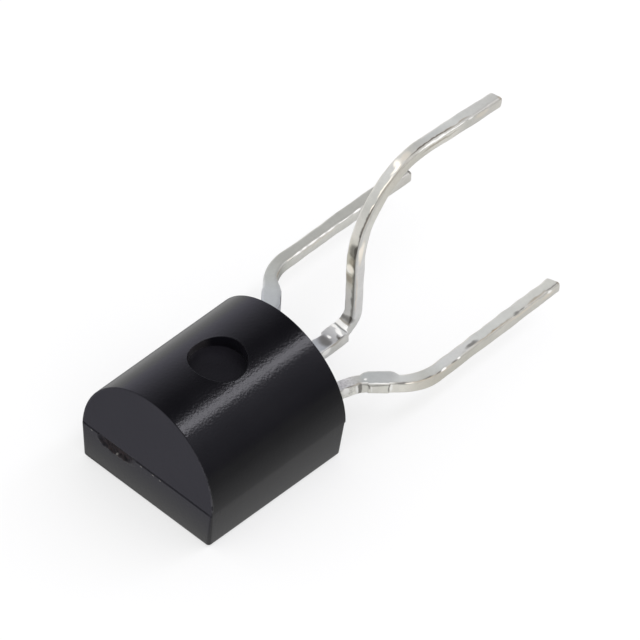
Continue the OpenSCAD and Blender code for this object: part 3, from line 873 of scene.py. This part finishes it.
# One colour in clouds of a paler one
def innerMaterial(name, colour, pale, roughness, metallic):
    material, wire = newMaterial(name + "_finish")
    cloud = millimetres(wire).noise(2.5, 3)
    finishMaterial(wire, {"Base Color": cloud.step(0.3, 0.7).mix(colour, pale),
                          "Roughness": roughness + 0.1 * (cloud - 0.5), "Metallic": metallic})
    return material


dress(body, epoxyMaterial(epoxyFinish, bodyShape))
for node, lead in leads.items():
    dress(lead, tinMaterial("tin_on_" + node, tinColourAndLight[node], tinPlating))
for node, finish in innerFinish.items():
    dress(frame["nodes"][node], innerMaterial(node, *finish))
print("finishes made")


studio = {
    "floorSize": 0.4,
    "floorGap": 0.00001,    # metres that it lies under the part
    "floorColour": 0.34,
    "floorWhite": 0.60,     # glow that brings the floor to white as the camera sees it
    "violet": (1.0, 0.98, 1.15),            # tint of the room in the part's gloss
    "violetTo": (-3.6, -2.6),               # mm along +Y, where the floor's tint fades
    "glossRight": (3.5, 11, 0.42, 0.26),    # floor in gloss: from and to in mm, and brightness at either
    "glossRightFoot": (2.4, 3.1, 0.20, 0),  # and more of it by the foot of the right wall
    "glossLeft": (-6.7, -3.6, 0.67, 0.19),
    "glossLeftToRight": (-3, 2),
    "glossFront": (-3.3, -2.5, 0.49, 0.75),
    "glossFrontToSide": (-2.62, -2.5),
    "skyWhite": 0.98,       # as the camera sees it
    "skyZenith": 0.85,      # the plain sky that lights the part, brighter round the horizon
    "skyHorizon": 1.60,
    "skyFront": 0.60,       # how much brighter again towards -Y
    "skyTones": (           # in gloss: share of a half turn from left to right over the top, and brightness
        (0.0, 0.67), (0.033, 0.65), (0.10, 0.61), (0.167, 0.50), (0.233, 0.34), (0.267, 0.28), (0.30, 0.225),
        (0.333, 0.15), (0.367, 0.09), (0.433, 0.05), (0.50, 0.08), (0.56, 0.18), (0.63, 0.34), (0.70, 0.42),
        (0.733, 0.38), (0.80, 0.29), (0.867, 0.25), (0.933, 0.20), (1.0, 0.14)),
    "stripTurn": 18.3,      # degrees from straight up towards +X, seen along +Y
    "stripRise": 31.0,      # degrees it stands ahead of the part, towards +Y
    "stripDistance": 0.14,
    "stripSize": (0.026, 0.16),
    "stripPower": 0.047,
    "stripColour": (1, 0.99, 1.07),
}


# White to the camera by paint and glow together. In gloss it glows only, brightest before the plain end and
# fading into the room on the right, with the part's own shade on the left.
def makeFloor(settings):
    half = settings["floorSize"] / 2
    z = cadBox[0].z - settings["floorGap"]
    corners = [(-half, -half, z), (half, -half, z), (half, half, z), (-half, half, z)]
    mesh = bpy.data.meshes.new("floor")
    mesh.from_pydata(corners, [], [(0, 1, 2, 3)])
    floor = bpy.data.objects.new("floor", mesh)
    bpy.context.scene.collection.objects.link(floor)
    material, wire = newMaterial("white_table")
    x, y = millimetres(wire).parts(2)
    camera, glossy, through = (wire.node("LightPath", output=k) for k in
                               ("Is Camera Ray", "Is Glossy Ray", "Is Transmission Ray"))
    shade = settings["floorColour"]
    paint = wire.node("BsdfDiffuse", {}, {"Color": (shade, shade, shade, 1)})
    seen = wire.maths("MAXIMUM", camera, through)
    glow = wire.node("Emission", {}, {"Color": (1, 1, 1, 1), "Strength": seen * settings["floorWhite"]})
    plain = wire.node("AddShader", {}, {0: paint, 1: glow})

    right = x.fade(*settings["glossRight"]) + x.fade(*settings["glossRightFoot"])
    left = x.fade(*settings["glossLeft"])
    front = y.fade(*settings["glossFront"])
    aside = left + x.step(*settings["glossLeftToRight"]) * (right - left)
    tone = front + y.step(*settings["glossFrontToSide"]) * (aside - front)
    tint = y.step(*settings["violetTo"]).mix(settings["violet"], (1, 1, 1))
    gloss = wire.node("Emission", {}, {"Color": tint, "Strength": tone})
    surface = wire.node("MixShader", {}, {0: glossy, 1: plain, 2: gloss})
    wire.node("OutputMaterial", {}, {"Surface": surface})
    dress(floor, material)


# White to the camera. What lights the part is brightest round the horizon, by the square of one less the
# height's sine, and brighter again towards -Y. In gloss the brightness goes by the turn about the Y axis.
def makeSky(settings):
    world = bpy.data.worlds.new("tent")
    world.use_nodes = True
    world.node_tree.nodes.clear()
    bpy.context.scene.world = world
    wire = Wire(world.node_tree)
    x, y, z = wire.node("TexCoord", output=0).parts()
    share = wire.maths("ARCTAN2", x, z) * (1 / math.pi) + 0.5
    stops = [(place, tuple(tone * v for v in settings["violet"])) for place, tone in settings["skyTones"]]
    tone = wire.node("ValToRGB", {"stops": stops}, {"Fac": share})
    camera, glossy = (wire.node("LightPath", output=k) for k in ("Is Camera Ray", "Is Glossy Ray"))
    low = 1 - wire.maths("MAXIMUM", z, 0.0)
    level = settings["skyZenith"] + (settings["skyHorizon"] - settings["skyZenith"]) * low * low
    level = level * (1 + settings["skyFront"] * wire.maths("MAXIMUM", 0.0 - y, 0.0))
    level = level + camera * (settings["skyWhite"] - level)
    plain = wire.node("CombineColor", {}, {0: level, 1: level, 2: level})
    sky = wire.node("Background", {}, {"Color": glossy.mix(plain, tone), "Strength": 1.0})
    wire.node("OutputWorld", {}, {"Surface": sky})


# A strip lamp that shines along its own -Z at the origin, its long side as near the Y axis as that allows
def makeStrip(settings):
    turn, rise = (math.radians(settings[k]) for k in ("stripTurn", "stripRise"))
    away = Vector((math.sin(turn) * math.cos(rise), math.sin(rise), math.cos(turn) * math.cos(rise)))
    data = bpy.data.lights.new("strip", "AREA")
    data.shape = "RECTANGLE"
    data.size, data.size_y = settings["stripSize"]
    data.energy = settings["stripPower"]
    data.color = settings["stripColour"]
    lamp = bpy.data.objects.new("strip", data)
    long = (Vector((0, 1, 0)) - away * away.y).normalized()
    lamp.matrix_world = Matrix((long.cross(away), long, away)).transposed().to_4x4()
    lamp.location = away * settings["stripDistance"]
    bpy.context.scene.collection.objects.link(lamp)


makeFloor(studio)
makeSky(studio)
makeStrip(studio)
bpy.context.scene.view_settings.view_transform = "Standard"
print("studio lit")
